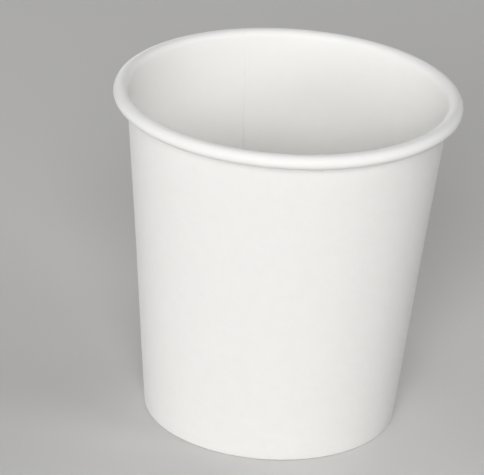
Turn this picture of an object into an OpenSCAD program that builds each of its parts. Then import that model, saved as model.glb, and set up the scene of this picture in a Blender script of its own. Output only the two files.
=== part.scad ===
// Small paper cup: a wrapped board sidewall with a rolled rim, a lapped side seam and a folded foot,
// and a round base whose skirt is held in that fold. Millimetres, +Z up, origin at the foot's centre.
// The side seam is centred on +Y.

/* [Cup] */
// Outer diameter of the rolled rim, the size that lids are made to
rim_d = 62; // [56:0.5:72]
// Overall height from the foot to the top of the rim
cup_h = 62; // [40:0.5:110]
// Outer diameter of the wall at the foot
foot_d = 45.6; // [38:0.2:54]

/* [Paperboard] */
// Thickness of the coated board
board_t = 0.3; // [0.2:0.02:0.4]
// Thickness of the melted film between sealed layers
seal_gap = 0.05; // [0.02:0.01:0.1]
// Inside radius of the pressed fold at the foot
fold_r = 0.05; // [0.02:0.01:0.1]

/* [Rolled rim] */
// Width of the roll from its outside to the inside of the wall
roll_w = 2.7; // [2:0.1:4]
// Gap between one turn of the roll and the next
roll_gap = 0.1; // [0.05:0.05:0.3]
// How far the board's edge is tucked up inside the roll past one full turn, in degrees
roll_tuck = 120; // [30:10:170]

/* [Base] */
// Height of the floor of the cup above the table
base_rise = 6.5; // [4:0.5:14]
// Inside radius of the bend between the base and its skirt
base_bend_r = 0.4; // [0.1:0.1:1]
// Height from the top edge of the folded hem to the start of the base's bend
hem_clear = 0.4; // [0.2:0.1:2]

/* [Side seam] */
// Width of the lap, just under the rim
seam_lap = 7.5; // [4:0.5:12]
// Length over which the outer layer climbs on to the inner one, just under the rim
seam_ramp = 2.8; // [1.6:0.1:3.2]

/* [Hidden] */
$fn = 144;
// Degrees between the section's points along a bend.
bend_step = 10;
board_white = "#f4f3f0";
base_white = "#f1f0ec";

// Section points are [radius, height]. The roll is a spiral on two centres: each half turn starts
// tangent to the last one, and each turn lies one board and one gap inside the turn before it.
foot_r = foot_d / 2;
turn_r = roll_w / 2;
turn_step = (board_t + roll_gap) / 2;
roll_centre = [rim_d / 2 - turn_r, cup_h - turn_r];

// The wall's outer face passes through the foot, and its inner face is tangent to the roll.
to_foot = [foot_r, 0] - roll_centre;
taper = -acos((board_t - turn_r) / norm(to_foot)) - atan2(to_foot.y, to_foot.x);
up_wall = [sin(taper), cos(taper)];
outward = [cos(taper), -sin(taper)];

// Corner centres of the fold: the wall, the base's skirt and the hem lie side by side above it.
fold_out = board_t + fold_r;
hem_depth = 3 * board_t + 2 * seal_gap;
fold_outer = at_depth(fold_out, fold_out);
fold_inner = at_depth(hem_depth - fold_out, fold_out);

// Straight run of the wall's outer face, from the fold to the roll.
wall_foot = fold_outer + fold_out * outward;
wall_head = roll_centre - (turn_r - board_t) * outward;

// The base's bend, and its skirt that lies one film inside the wall and ends one film above the fold.
skirt_depth = board_t + seal_gap;
base_out = board_t + base_bend_r;
base_corner = at_depth(skirt_depth + base_out, base_rise - base_out);
skirt_foot = at_depth(skirt_depth, skirt_depth);

// The hem's edge is cut square, a little below the base's bend.
hem_length = (base_corner.y - hem_clear - fold_inner.y) / cos(taper);
hem_head = fold_inner - fold_out * outward + hem_length * up_wall;

// The seam's lap starts at the outer layer's edge and ends at the inner layer's edge. From there the
// outer layer comes down along a ramp, which is one board high at the wall's head.
seam_angle = 90;
lap_angle = arc_angle(seam_lap);
lap_start = seam_angle - lap_angle / 2;
lap_end = seam_angle + lap_angle / 2;
ramp_end = lap_end + arc_angle(seam_ramp);
ramp_tilt = atan(board_t / seam_ramp - seam_ramp / (2 * wall_head.x));
past_ramp = arc_angle(seam_ramp / 4);

// Larger than the cup, for a shape that only cuts.
beyond = 2 * (rim_d + cup_h);

// The point at a height that lies a depth inside the wall's outer face.
function at_depth(depth, height) = [foot_r + height * tan(taper) - depth / cos(taper), height];

// The angle of an arc of this length round the wall's head.
function arc_angle(length) = length / wall_head.x * 180 / PI;

// Points along an arc, from one angle to the next in either direction.
function arc(centre, radius, from, to) =
    let (steps = ceil(abs(to - from) / bend_step))
    [for (i = [0:steps])
        let (angle = from + (to - from) * i / steps)
        centre + radius * [cos(angle), sin(angle)]];

function reversed(points) = [for (i = [len(points) - 1:-1:0]) points[i]];

// One face of the wall's board in section, a depth in from the face that shows outside the cup.
// It runs from the hem's edge round the fold, up the wall, over the rim and round inside the roll.
function wall_face(depth) = concat(
    [hem_head + depth * outward],
    arc(fold_inner, fold_out - depth, 180 - taper, 270),
    arc(fold_outer, fold_out - depth, 270, 360 - taper),
    arc(roll_centre, turn_r - board_t + depth, 180 - taper, -taper),
    arc(roll_centre + turn_step * outward, turn_r - board_t - turn_step + depth, -taper, -180 - taper),
    arc(roll_centre, turn_r - board_t - 2 * turn_step + depth, 180 - taper, 180 - taper - roll_tuck)
);

// One face of the base's board in section, a depth below its upper and outer face.
function base_face(depth) = concat(
    [[0, base_rise - depth]],
    arc(base_corner, base_out - depth, 90, -taper),
    [skirt_foot - depth * outward]
);

// All that lies outside a flat ramp. The ramp crosses the wall's outer face along the line where the
// seam ends, rises towards the lap, and is sunk by a depth for the ramp's inner face.
module outside_ramp(depth) {
    rotate([0, 0, ramp_end])
        translate([foot_r, 0, 0])
        rotate([0, taper, 0])
        rotate([0, 0, ramp_tilt])
        translate([-depth, -beyond / 2, -beyond / 2])
        cube(beyond);
}

// A layer along the wall, between two depths inside its outer face, from an angle to just past the
// ramp. It ends one board short of the fold and of the roll.
module seam_layer(from_angle, inner, outer, ramp_depth) {
    low = wall_foot.y + board_t;
    high = wall_head.y - board_t;
    difference() {
        rotate([0, 0, from_angle])
            rotate_extrude(angle = ramp_end + past_ramp - from_angle)
            polygon([at_depth(inner, low), at_depth(inner, high), at_depth(outer, high), at_depth(outer, low)]);
        outside_ramp(ramp_depth);
    }
}

// The outer layer of the lap, rooted in the wall, with a square edge on one side and the ramp on the other.
module seam_outer_layer() {
    seam_layer(lap_start, board_t / 2, -board_t, 0);
}

// The hollow beside the inner layer's edge, where the board climbs over it.
module seam_inner_hollow() {
    seam_layer(lap_end, board_t * 3 / 2, 0, board_t + seal_gap);
}

module sidewall() {
    color(board_white) {
        difference() {
            rotate_extrude() polygon(concat(wall_face(0), reversed(wall_face(board_t))));
            seam_inner_hollow();
        }
        seam_outer_layer();
    }
}

module base() {
    color(base_white)
        rotate_extrude()
        polygon(concat(base_face(0), reversed(base_face(board_t))));
}

sidewall();
base();
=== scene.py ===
# A small plain paper cup: the looks of its two pieces of board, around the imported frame.
import math
from typing import NamedTuple

import bmesh
import bpy
from mathutils import Matrix, Vector


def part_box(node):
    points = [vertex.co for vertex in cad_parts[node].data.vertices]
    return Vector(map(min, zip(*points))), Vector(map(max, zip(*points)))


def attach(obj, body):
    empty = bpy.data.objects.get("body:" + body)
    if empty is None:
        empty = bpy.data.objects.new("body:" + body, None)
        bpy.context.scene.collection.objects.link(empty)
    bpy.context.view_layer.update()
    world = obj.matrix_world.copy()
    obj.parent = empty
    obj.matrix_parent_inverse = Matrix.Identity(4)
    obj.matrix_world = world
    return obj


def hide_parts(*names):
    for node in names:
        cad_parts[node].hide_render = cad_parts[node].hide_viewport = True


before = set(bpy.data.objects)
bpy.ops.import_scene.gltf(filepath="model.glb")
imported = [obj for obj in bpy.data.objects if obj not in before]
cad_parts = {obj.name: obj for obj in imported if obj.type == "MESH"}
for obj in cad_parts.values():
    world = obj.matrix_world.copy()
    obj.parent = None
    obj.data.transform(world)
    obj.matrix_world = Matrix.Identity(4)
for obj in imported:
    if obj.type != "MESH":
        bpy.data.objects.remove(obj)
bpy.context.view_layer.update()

# Sizes in metres and angles in degrees, as in the part's source
MM = 0.001
BOARD = 0.3 * MM
SEAL_GAP = 0.05 * MM
FOLD_R = 0.05 * MM
FOOT_R = 22.8 * MM
ROLL_W = 2.7 * MM
ROLL_GAP = 0.1 * MM
ROLL_TUCK = 120
BASE_BEND_R = 0.4 * MM
HEM_CLEAR = 0.4 * MM
SEAM_ANGLE = 90
SEAM_LAP = 7.5 * MM
SEAM_RAMP = 2.8 * MM

# Sizes taken from the frame
RIM_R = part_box("sidewall")[1].x
CUP_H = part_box("sidewall")[1].z
CUP_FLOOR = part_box("base")[1].z

# How finely the meshes are divided, along each stretch of a section and round the axis
FOLD_STEPS = 6
WALL_STEPS = 30
ROLL_STEPS = 18
DISC_STEPS = 24
BEND_STEPS = 12
LAP_STEPS = 12
RAMP_STEPS = 14
BASE_COLUMNS = 240
COLUMN_STEP = 1.0
# Half the turn between the two columns at a cut edge of the seam
EDGE_TURN = 0.02
SHARP_ANGLE = math.radians(35)
WELD_DISTANCE = 0.0001 * MM

# The seam fades out between these heights, towards the foot and towards the rim. Its inner edge is
# pressed until it stands only a little proud, and less at the rim.
LAP_FOOT = (0.5 * MM, 2.5 * MM)
LAP_HEAD = (59.0 * MM, 59.8 * MM)
HOLLOW_FOOT = (5.0 * MM, 6.4 * MM)
HOLLOW_HEAD = (44.0 * MM, 54.0 * MM)
HOLLOW_AT_RIM = 0.12
HOLLOW_DEPTH = 0.32 * BOARD
HOLLOW_RAMP = 1.2 * MM

# Slow waves in the wrapped board, all of them inwards: amplitude, waves a turn and phase
WAVE_FOOT = 8 * MM
WAVE_HEAD = 58 * MM
WALL_WAVES = [(0.030 * MM, 5, 0.6), (0.020 * MM, 9, 2.1), (0.012 * MM, 17, 4.0)]
BASE_SAG = 0.25 * MM

# The view, fitted to the cup's outline in the photograph
PHOTO_SIZE = (484, 475)
FOCAL_PX = 3779
CUP_CENTRE_PX = (278.56, 248.9)
CAMERA_DISTANCE = 0.6805
CAMERA_AZIMUTH = -9.7
CAMERA_ELEVATION = 24.35
CAMERA_ROLL = 3.69
SENSOR_WIDTH = 36
CUP_CENTRE = Vector((0, 0, CUP_H / 2))

# The board's texture: clouds in the sheet, and layers of fibres that lie at several angles. A fibre has
# a length and a width, and its third number has no effect on a flat sheet.
CLOUD_SIZE = 2.4 * MM
CLOUD_NOISE = {"Scale": 1 / CLOUD_SIZE, "Detail": 5, "Roughness": 0.62}
FIBRE_SIZE = (1.8 * MM, 0.19 * MM, 1)
FIBRE_NOISE = {"Scale": 1, "Detail": 3, "Roughness": 0.55, "Distortion": 0.5}
FIBRE_ANGLES = (6, 41, 78, -27, -63)
FIBRE_SHARE = 0.5
TEXTURE_RANGE = {"From Min": 0.4, "From Max": 0.74}


class Finish(NamedTuple):
    """One face of the board: its two colours, the span of its roughness, its relief and specular level."""
    light: tuple
    shade: tuple
    roughness: tuple
    relief: float
    specular: float


# The faces of the board, in the order of the meshes' material slots
FINISHES = {
    "board_outside": Finish((0.915, 0.91, 0.893, 1), (0.885, 0.88, 0.862, 1), (0.62, 0.72), 0.13 * MM, 0.25),
    "board_inside": Finish((0.93, 0.925, 0.908, 1), (0.91, 0.905, 0.887, 1), (0.5, 0.58), 0.06 * MM, 0.22),
    "board_edge": Finish((0.83, 0.81, 0.76, 1), (0.74, 0.72, 0.66, 1), (0.75, 0.85), 0.16 * MM, 0.2),
}
OUTSIDE, INSIDE, CUT_EDGE = range(len(FINISHES))

# Soft lamps round the cup: name, azimuth, elevation, size in metres and power in watts
LAMP_DISTANCE = 2.0
LAMPS = [
    ("key_lamp", -10, 29, 0.8, 18.5),
    ("fill_lamp", -26, 13, 0.8, 13.0),
    ("left_lamp", -100, 10, 1.2, 14.2),
    ("right_lamp", 56, 24, 0.8, 8.2),
    ("back_lamp", 180, 4, 1.2, 17.0),
    ("high_lamp", 100, 55, 1.0, 5.0),
]

# The surroundings and the floor, as they are seen and in the light that they give the cup
WHITE = (1, 1, 1, 1)
WORLD_LIGHT = 0.06
SURROUNDINGS = (0.40, 0.395, 0.385, 1)
FLOOR_SEEN = (0.68, 0.675, 0.665, 1)
FLOOR_BOUNCE = (0.49, 0.486, 0.478, 1)
FLOOR_ROUGHNESS = 0.9
FLOOR_SPECULAR = 0.1
FLOOR_HALF = 4.0

# Sockets of a Mix node for colours, whose names would find its sockets for numbers
COLOUR_A, COLOUR_B, COLOUR_RESULT = 6, 7, 2


def fade(value, limits):
    """0 below the first limit, 1 above the second, and a smooth step between them."""
    share = min(max((value - limits[0]) / (limits[1] - limits[0]), 0.0), 1.0)
    return share * share * (3 - 2 * share)


def between(start, end, steps):
    """Evenly spaced numbers, both ends included."""
    return [start + (end - start) * i / steps for i in range(steps + 1)]


def polar(angle):
    """The unit vector at an angle in degrees."""
    return Vector((math.cos(math.radians(angle)), math.sin(math.radians(angle))))


def turned(radius, angle, height):
    """A point at a radius and an angle round the cup's axis."""
    x, y = radius * polar(angle)
    return (x, y, height)


def direction(azimuth, elevation):
    """The unit vector from the cup to a place round it, with azimuth 0 at the front."""
    side, out = polar(azimuth - 90), polar(elevation)
    return Vector((side.x * out.x, side.y * out.x, out.y))


def lengths_along(points):
    """Distance from the first point to each point along a line of them."""
    total, lengths = 0.0, [0.0]
    for a, b in zip(points, points[1:]):
        total += (b - a).length
        lengths.append(total)
    return lengths


def add_object(name, data):
    """A new object in the scene."""
    item = bpy.data.objects.new(name, data)
    bpy.context.scene.collection.objects.link(item)
    return item


# The wall's slope: its outer face passes through the foot, and its inner face is tangent to the roll
TURN_R = ROLL_W / 2
TURN_STEP = (BOARD + ROLL_GAP) / 2
ROLL_CENTRE = Vector((RIM_R - TURN_R, CUP_H - TURN_R))
TO_FOOT = Vector((FOOT_R, 0)) - ROLL_CENTRE
TAPER = -math.degrees(math.acos((BOARD - TURN_R) / TO_FOOT.length) + math.atan2(TO_FOOT.y, TO_FOOT.x))
OUTWARD = polar(-TAPER)
UP_WALL = polar(90 - TAPER)


def at_depth(depth, height):
    """The point at a height that lies a depth inside the wall's outer face."""
    slope = math.radians(TAPER)
    return Vector((FOOT_R + height * math.tan(slope) - depth / math.cos(slope), height))


# Corners of the fold, the base's bend and the hem's edge
FOLD_OUT = BOARD + FOLD_R
HEM_DEPTH = 3 * BOARD + 2 * SEAL_GAP
FOLD_OUTER = at_depth(FOLD_OUT, FOLD_OUT)
FOLD_INNER = at_depth(HEM_DEPTH - FOLD_OUT, FOLD_OUT)
WALL_FOOT = FOLD_OUTER + FOLD_OUT * OUTWARD
WALL_HEAD = ROLL_CENTRE - (TURN_R - BOARD) * OUTWARD
SKIRT_DEPTH = BOARD + SEAL_GAP
BASE_OUT = BOARD + BASE_BEND_R
BASE_CORNER = at_depth(SKIRT_DEPTH + BASE_OUT, CUP_FLOOR - BASE_OUT)
SKIRT_FOOT = at_depth(SKIRT_DEPTH, SKIRT_DEPTH)
HEM_LENGTH = (BASE_CORNER.y - HEM_CLEAR - FOLD_INNER.y) / UP_WALL.y
HEM_HEAD = FOLD_INNER - FOLD_OUT * OUTWARD + HEM_LENGTH * UP_WALL

# Angles of the side seam
TURN_PER_METRE = math.degrees(1 / WALL_HEAD.x)
LAP_START = SEAM_ANGLE - SEAM_LAP * TURN_PER_METRE / 2
LAP_END = SEAM_ANGLE + SEAM_LAP * TURN_PER_METRE / 2
RAMP_END = LAP_END + SEAM_RAMP * TURN_PER_METRE


def set_camera():
    """A long lens at the photograph's angle, turned so that the cup's centre falls on its pixel."""
    back = direction(CAMERA_AZIMUTH, CAMERA_ELEVATION)
    turn = Matrix.Rotation(math.radians(CAMERA_ROLL), 3, back)
    right = turn @ direction(CAMERA_AZIMUTH + 90, 0)
    up = back.cross(right)
    axes = Matrix((right, up, back)).transposed()
    off_x = (CUP_CENTRE_PX[0] - PHOTO_SIZE[0] / 2) / FOCAL_PX
    off_y = (PHOTO_SIZE[1] / 2 - CUP_CENTRE_PX[1]) / FOCAL_PX
    seen_at = axes @ Vector((off_x, off_y, -1))
    aim = seen_at.rotation_difference(-back)

    data = bpy.data.cameras.new("camera")
    data.sensor_width = SENSOR_WIDTH
    data.lens = FOCAL_PX / PHOTO_SIZE[0] * SENSOR_WIDTH
    camera = add_object("camera", data)
    camera.rotation_mode = "QUATERNION"
    camera.rotation_quaternion = aim @ axes.to_quaternion()
    camera.location = CUP_CENTRE + back * CAMERA_DISTANCE
    bpy.context.scene.camera = camera


class Spot(NamedTuple):
    """A point of a section: its radius and height, the way across the board, and the seam's share there."""
    place: Vector
    across: Vector
    lap: float = 0.0
    hollow: float = 0.0


def fold_arc(centre, radius, start, end):
    """Spots round one corner of the foot's fold."""
    return [Spot(centre + radius * polar(a), polar(a)) for a in between(start, end, FOLD_STEPS)]


def roll_arc(centre, radius, start, end, hollow=0.0):
    """Spots round one turn of the rim, where the way across is inwards and the seam's hollow fades out."""
    angles = between(start, end, ROLL_STEPS)
    hollows = between(hollow, 0.0, ROLL_STEPS)
    return [Spot(centre + radius * polar(a), -polar(a), 0.0, h) for a, h in zip(angles, hollows)]


def wall_spot(share, depth):
    """A spot on the straight wall, with the lap on its outer face and the hollow on its inner face."""
    place = WALL_FOOT.lerp(WALL_HEAD, share) - depth * OUTWARD
    if depth == 0:
        return Spot(place, OUTWARD, fade(place.y, LAP_FOOT) * (1 - fade(place.y, LAP_HEAD)), 0.0)
    pressed = (1 - HOLLOW_AT_RIM) * fade(place.y, HOLLOW_HEAD)
    return Spot(place, OUTWARD, 0.0, fade(place.y, HOLLOW_FOOT) * (1 - pressed))


def wall_face(depth):
    """One face of the wall's board, from the hem's edge round the fold, up the wall and round the roll."""
    reach = TURN_R - BOARD + depth
    hollow = HOLLOW_AT_RIM if depth else 0.0
    lower_centre = ROLL_CENTRE + TURN_STEP * OUTWARD
    spots = [Spot(HEM_HEAD + depth * OUTWARD, -OUTWARD)]
    spots += fold_arc(FOLD_INNER, FOLD_OUT - depth, 180 - TAPER, 270)
    spots += fold_arc(FOLD_OUTER, FOLD_OUT - depth, 270, 360 - TAPER)
    spots += [wall_spot(i / WALL_STEPS, depth) for i in range(1, WALL_STEPS)]
    spots += roll_arc(ROLL_CENTRE, reach, 180 - TAPER, -TAPER, hollow)
    spots += roll_arc(lower_centre, reach - TURN_STEP, -TAPER, -180 - TAPER)[1:]
    spots += roll_arc(ROLL_CENTRE, reach - 2 * TURN_STEP, 180 - TAPER, 180 - TAPER - ROLL_TUCK)[1:]
    return spots


class Column(NamedTuple):
    """An angle round the cup, with the height of the lap and the depth of the hollow there."""
    angle: float
    lap: float = 0.0
    hollow: float = 0.0


def wall_columns():
    """Even columns, with pairs of close ones at the seam's two edges and fine ones on its ramp."""
    plain = between(0, 360, round(360 / COLUMN_STEP))[:-1]
    columns = [Column(a) for a in plain if not LAP_START - COLUMN_STEP < a < RAMP_END + COLUMN_STEP / 2]
    columns.append(Column(LAP_START - EDGE_TURN))
    columns += [Column(a, 1.0) for a in between(LAP_START + EDGE_TURN, LAP_END - EDGE_TURN, LAP_STEPS)]
    for distance in between(0, SEAM_RAMP, RAMP_STEPS):
        angle = LAP_END + EDGE_TURN + distance * TURN_PER_METRE
        lap = 1 - fade(distance, (0, SEAM_RAMP))
        hollow = 1 - fade(distance, (0, HOLLOW_RAMP))
        columns.append(Column(angle, lap, hollow))
    return sorted(columns)


def wave(angle, height):
    """How far the wall lies off its true cone, from slow waves in the board. It is never above 0."""
    window = math.sin(math.pi * min(max((height - WAVE_FOOT) / (WAVE_HEAD - WAVE_FOOT), 0), 1)) ** 2
    turns = [a * (math.sin(n * math.radians(angle) + phase) - 1) for a, n, phase in WALL_WAVES]
    return window * sum(turns)


class Grid(NamedTuple):
    """A surface swept round the axis: a list of points for each column, the columns' angles, and for each
    row its length along the section and the angle at which its flat board starts."""
    points: list
    angles: list
    lengths: list
    starts: list
    closed: bool


def clean_up(mesh):
    """Welds points that fall together, turns all faces outwards and smooths all but the sharp edges."""
    shape = bmesh.new()
    shape.from_mesh(mesh)
    bmesh.ops.remove_doubles(shape, verts=shape.verts, dist=WELD_DISTANCE)
    bmesh.ops.recalc_face_normals(shape, faces=shape.faces)
    shape.to_mesh(mesh)
    shape.free()
    mesh.shade_smooth()
    mesh.set_sharp_from_angle(angle=SHARP_ANGLE)


def add_grid(name, grid, flat, material_of, materials):
    """A mesh object of quads from a grid, with a map for baking and each corner's place on the flat board.
    flat(turn, row) gives that place, and material_of(row, column) gives the face's material slot."""
    columns, rows = len(grid.points), len(grid.points[0])
    last_row = rows if grid.closed else rows - 1
    faces, slots, uvs, sheet = [], [], [], []
    for column, angle in enumerate(grid.angles):
        after = (column + 1) % columns
        width = (grid.angles[after] - angle) % 360
        near, far = column * rows, after * rows
        for row in range(last_row):
            above = (row + 1) % rows
            start = (angle - grid.starts[row]) % 360
            faces.append((near + row, far + row, far + above, near + above))
            slots.append(material_of(row, column))
            for side, corner_row, step in ((0, row, 0), (width, row, 0), (width, above, 1), (0, above, 1)):
                uvs += ((angle + side) / 360, grid.lengths[row + step] / grid.lengths[-1])
                sheet += (*flat(start + side, corner_row), 0.0)

    mesh = bpy.data.meshes.new(name)
    mesh.from_pydata([point for line in grid.points for point in line], [], faces)
    for material in materials:
        mesh.materials.append(material)
    mesh.polygons.foreach_set("material_index", slots)
    mesh.attributes.new("sheet", "FLOAT_VECTOR", "CORNER").data.foreach_set("vector", sheet)
    mesh.uv_layers.new(name="OFBake").uv.foreach_set("vector", uvs)
    clean_up(mesh)
    return add_object(name, mesh)


def make_sidewall(materials):
    """The wrapped wall with its seam, rolled rim and folded foot, as one closed sheet."""
    outer, inner = wall_face(0), wall_face(BOARD)
    loop = outer + inner[::-1]
    along = lengths_along([spot.place for spot in outer])
    run = along + along[::-1]
    columns = wall_columns()
    points = []
    for angle, lap, hollow in columns:
        line = []
        for spot in loop:
            push = lap * spot.lap * BOARD + hollow * spot.hollow * HOLLOW_DEPTH
            place = spot.place + push * spot.across
            line.append(turned(place.x + wave(angle, place.y), angle, place.y))
        points.append(line)
    angles = [column.angle for column in columns]
    lap_edge = max(i for i, angle in enumerate(angles) if angle < LAP_START)
    hollow_edge = max(i for i, angle in enumerate(angles) if angle < LAP_END)

    def flat(turn, row):
        """The place on the flat blank, from the angle past its edge."""
        return math.radians(turn) * loop[row].place.x, run[row]

    def material_of(row, column):
        """Outside, inside or cut edge: the board is cut along the hem, in the roll and at the seam."""
        if row in (len(outer) - 1, len(loop) - 1):
            return CUT_EDGE
        if row < len(outer):
            return CUT_EDGE if column == lap_edge and loop[row].lap > 0 else OUTSIDE
        return CUT_EDGE if column == hollow_edge and loop[row].hollow > 0 else INSIDE

    lengths = lengths_along([spot.place for spot in loop + loop[:1]])
    starts = [LAP_START] * len(outer) + [LAP_END] * len(inner)
    grid = Grid(points, angles, lengths, starts, True)
    return add_grid("cup_sidewall", grid, flat, material_of, materials)


def base_face(depth):
    """One face of the base's board, from its centre over the disc's slight sag and the bend to the skirt."""
    disc_r = BASE_CORNER.x
    disc = []
    for radius in between(0, disc_r, DISC_STEPS):
        sag = BASE_SAG * (1 - (radius / disc_r) ** 2) ** 2
        disc.append(Vector((radius, CUP_FLOOR - depth - sag)))
    bend = [BASE_CORNER + (BASE_OUT - depth) * polar(a) for a in between(90, -TAPER, BEND_STEPS)]
    return disc + bend[1:] + [SKIRT_FOOT - depth * OUTWARD]


def make_base(materials):
    """The round base, with the skirt that is held in the fold."""
    top, under = base_face(0), base_face(BOARD)
    loop = top + under[::-1]
    along = lengths_along(top)
    run = along + along[::-1]
    angles = between(0, 360, BASE_COLUMNS)[:-1]
    points = [[turned(place.x, angle, place.y) for place in loop] for angle in angles]

    def flat(turn, row):
        """The place on the flat round blank."""
        return run[row] * polar(turn)

    def material_of(row, column):
        """The coated upper face, the plain underside and the skirt's cut edge."""
        if row == len(top) - 1:
            return CUT_EDGE
        return INSIDE if row < len(top) else OUTSIDE

    starts = [0] * len(loop)
    grid = Grid(points, angles, lengths_along(loop), starts, False)
    return add_grid("cup_base", grid, flat, material_of, materials)


def new_material(name):
    """A material, its node tree and its shader."""
    material = bpy.data.materials.new(name)
    material.use_nodes = True
    tree = material.node_tree
    return material, tree, tree.nodes["Principled BSDF"]


def add_node(tree, kind, inputs=None, **settings):
    """A shader node with its settings and unlinked inputs."""
    node = tree.nodes.new(kind)
    for key, value in settings.items():
        setattr(node, key, value)
    for key, value in (inputs or {}).items():
        node.inputs[key].default_value = value
    return node


def largest(tree, values):
    """The largest of several values."""
    result = values[0]
    for value in values[1:]:
        larger = add_node(tree, "ShaderNodeMath", operation="MAXIMUM")
        tree.links.new(result, larger.inputs[0])
        tree.links.new(value, larger.inputs[1])
        result = larger.outputs["Value"]
    return result


def mixed_colour(tree, share, first, second):
    """The first colour where the share is 0, the second where it is 1, and a mix between."""
    mix = add_node(tree, "ShaderNodeMix", {COLOUR_A: first, COLOUR_B: second}, data_type="RGBA")
    tree.links.new(share, mix.inputs["Factor"])
    return mix.outputs[COLOUR_RESULT]


def fibre_layer(tree, place, angle):
    """Noise drawn out along one direction of the sheet, like fibres that lie side by side."""
    lay = add_node(tree, "ShaderNodeMapping", {"Scale": FIBRE_SIZE}, vector_type="TEXTURE")
    lay.inputs["Rotation"].default_value = (0, 0, math.radians(angle))
    tree.links.new(place, lay.inputs["Vector"])
    noise = add_node(tree, "ShaderNodeTexNoise", FIBRE_NOISE)
    tree.links.new(lay.outputs["Vector"], noise.inputs["Vector"])
    return noise.outputs["Fac"]


def board_material(name, finish):
    """White board: a cloudy sheet with fibres across each other, in its colour, its gloss and its relief."""
    material, tree, shader = new_material(name)
    link = tree.links.new
    shader.inputs["Specular IOR Level"].default_value = finish.specular

    place = add_node(tree, "ShaderNodeAttribute", attribute_name="sheet").outputs["Vector"]
    cloud = add_node(tree, "ShaderNodeTexNoise", CLOUD_NOISE)
    link(place, cloud.inputs["Vector"])
    felt = largest(tree, [fibre_layer(tree, place, angle) for angle in FIBRE_ANGLES])
    mix = add_node(tree, "ShaderNodeMix", {"Factor": FIBRE_SHARE}, data_type="FLOAT")
    link(cloud.outputs["Fac"], mix.inputs["A"])
    link(felt, mix.inputs["B"])
    texture = mix.outputs["Result"]

    tint = add_node(tree, "ShaderNodeMapRange", TEXTURE_RANGE)
    link(texture, tint.inputs["Value"])
    colour = mixed_colour(tree, tint.outputs["Result"], finish.shade, finish.light)
    link(colour, shader.inputs["Base Color"])
    low, high = finish.roughness
    gloss = add_node(tree, "ShaderNodeMapRange", {**TEXTURE_RANGE, "To Min": low, "To Max": high})
    link(texture, gloss.inputs["Value"])
    link(gloss.outputs["Result"], shader.inputs["Roughness"])
    bump = add_node(tree, "ShaderNodeBump", {"Strength": 1, "Distance": finish.relief})
    link(texture, bump.inputs["Height"])
    link(bump.outputs["Normal"], shader.inputs["Normal"])
    return material


def seen_share(tree):
    """1 for what is seen, by the camera or in gloss and glass, and 0 for what only gives light."""
    path = add_node(tree, "ShaderNodeLightPath")
    kinds = ("Is Camera Ray", "Is Glossy Ray", "Is Transmission Ray")
    return largest(tree, [path.outputs[kind] for kind in kinds])


def set_stage():
    """A plain pale floor, which looks paler than the light that it gives back."""
    mesh = bpy.data.meshes.new("floor")
    corners = [(x * FLOOR_HALF, y * FLOOR_HALF, 0) for x, y in ((-1, -1), (1, -1), (1, 1), (-1, 1))]
    mesh.from_pydata(corners, [], [(0, 1, 2, 3)])
    material, tree, shader = new_material("floor_paint")
    colour = mixed_colour(tree, seen_share(tree), FLOOR_BOUNCE, FLOOR_SEEN)
    tree.links.new(colour, shader.inputs["Base Color"])
    shader.inputs["Roughness"].default_value = FLOOR_ROUGHNESS
    shader.inputs["Specular IOR Level"].default_value = FLOOR_SPECULAR
    mesh.materials.append(material)
    floor = add_object("floor", mesh)


def add_lamp(name, azimuth, elevation, size, power):
    """A soft square lamp that looks at the cup."""
    data = bpy.data.lights.new(name, "AREA")
    data.size = size
    data.energy = power
    lamp = add_object(name, data)
    away = direction(azimuth, elevation)
    lamp.location = CUP_CENTRE + LAMP_DISTANCE * away
    lamp.rotation_mode = "QUATERNION"
    lamp.rotation_quaternion = (-away).to_track_quat("-Z", "Y")


def set_world():
    """Pale surroundings for the camera and for reflections, which give the cup only a little light."""
    world = bpy.data.worlds.new("studio")
    world.use_nodes = True
    tree = world.node_tree
    link = tree.links.new
    light = tree.nodes["Background"]
    light.inputs["Color"].default_value = WHITE
    light.inputs["Strength"].default_value = WORLD_LIGHT
    seen = add_node(tree, "ShaderNodeBackground", {"Color": SURROUNDINGS, "Strength": 1})
    mix = add_node(tree, "ShaderNodeMixShader")
    link(seen_share(tree), mix.inputs["Fac"])
    link(light.outputs["Background"], mix.inputs[1])
    link(seen.outputs["Background"], mix.inputs[2])
    link(mix.outputs["Shader"], tree.nodes["World Output"].inputs["Surface"])
    bpy.context.scene.world = world


set_camera()
boards = [board_material(name, finish) for name, finish in FINISHES.items()]
sidewall = make_sidewall(boards)
base = make_base(boards)
for piece, node, slot in ((sidewall, "sidewall", "wall_board"), (base, "base", "base_board")):
    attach(piece, "root")
    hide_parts(node)
set_stage()
set_world()
for lamp in LAMPS:
    add_lamp(*lamp)
bpy.context.scene.view_settings.view_transform = "Standard"
